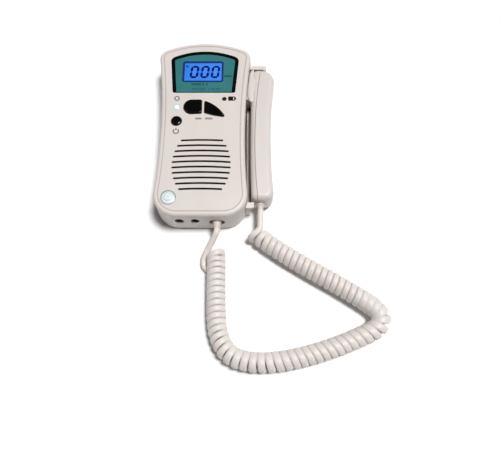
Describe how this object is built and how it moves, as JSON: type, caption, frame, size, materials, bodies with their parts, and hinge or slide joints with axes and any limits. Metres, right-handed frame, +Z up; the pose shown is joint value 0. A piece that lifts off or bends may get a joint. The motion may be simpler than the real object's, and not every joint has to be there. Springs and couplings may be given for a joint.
{
  "type": "fetal doppler monitor",
  "caption": "Handheld fetal doppler monitor with a display, press buttons, a speaker grille, a removable probe in a side cradle and a curly cord.",
  "frame": {"origin": "on the table, under the middle of the casing and the parked probe together", "axes": "+X towards the side that the probe is parked on, +Y towards the display end, +Z up out of the front face as the monitor lies on its back"},
  "size_m": [0.1892, 0.2873, 0.0295],
  "materials": {
    "ivory_plastic": "moulded ABS with a fine even texture",
    "black_gloss": "polished",
    "teal_lens": "polished, printed behind",
    "dark_plastic": "moulded",
    "lcd_blue": "polished, backlit",
    "light_plastic": "translucent",
    "smoked_plastic": "polished",
    "pearl_badge": "pearl",
    "circuit_board": "solder mask",
    "chip_plastic": "moulded",
    "grey_rubber": "moulded",
    "steel": "plated",
    "cell_wrap": "printed sleeve, bare of print",
    "sensor_resin": "smooth resin",
    "ceramic": "fired",
    "ivory_cord": "soft PVC, satin"
  },
  "bodies": {
    "casing": {"front_shell": "ivory_plastic", "rear_shell": "ivory_plastic", "probe_cradle": "ivory_plastic", "window_trim": "black_gloss", "display_lens": "teal_lens", "lcd_bezel": "dark_plastic", "earphone_jack_left": "dark_plastic", "earphone_jack_right": "dark_plastic", "probe_socket": "dark_plastic", "probe_plug": "dark_plastic", "speaker_basket": "dark_plastic", "speaker_cone": "dark_plastic", "lcd_glass": "lcd_blue", "backlight_panel": "light_plastic", "power_light_lens": "light_plastic", "light_chips": "light_plastic", "status_light_lens": "smoked_plastic", "badge": "pearl_badge", "main_board": "circuit_board", "port_board": "circuit_board", "board_chips": "chip_plastic", "keypad_mat": "grey_rubber", "speaker_gasket": "grey_rubber", "rubber_feet": "grey_rubber", "speaker_magnet": "steel", "casing_screws": "steel", "board_screws": "steel", "battery_contacts": "steel", "battery_springs": "steel", "battery_cell_left": "cell_wrap", "battery_cell_right": "cell_wrap", "plug_boot": "ivory_cord", "cord_lead_unit": "ivory_cord", "cord_coil_main": "ivory_cord", "cord_coil_probe": "ivory_cord"},
    "power_button": {"power_button": "black_gloss"},
    "left_button": {"left_button": "black_gloss"},
    "right_button": {"right_button": "black_gloss"},
    "battery_door": {"battery_door": "ivory_plastic"},
    "probe": {"probe_inner_shell": "ivory_plastic", "probe_outer_shell": "ivory_plastic", "sensor_face": "sensor_resin", "piezo_crystal": "ceramic", "crystal_backing": "dark_plastic", "probe_board": "circuit_board", "probe_gland": "ivory_cord", "cord_lead_probe": "ivory_cord"}
  },
  "joints": [
    {"name": "power_button_press", "type": "slide", "parent": "casing", "child": "power_button", "axis": [0, 0, -1], "range_m": [0, 0.0008], "stiffness_N_per_m": 500},
    {"name": "left_button_press", "type": "slide", "parent": "casing", "child": "left_button", "axis": [0, 0, -1], "range_m": [0, 0.0008], "stiffness_N_per_m": 500},
    {"name": "right_button_press", "type": "slide", "parent": "casing", "child": "right_button", "axis": [0, 0, -1], "range_m": [0, 0.0008], "stiffness_N_per_m": 500},
    {"name": "battery_door_slide", "type": "slide", "parent": "casing", "child": "battery_door", "axis": [0, 1, 0], "range_m": [0, 0.06]},
    {"name": "probe_lift", "type": "slide", "parent": "casing", "child": "probe", "axis": [0, 0, 1], "range_m": [0, 0.04]}
  ]
}
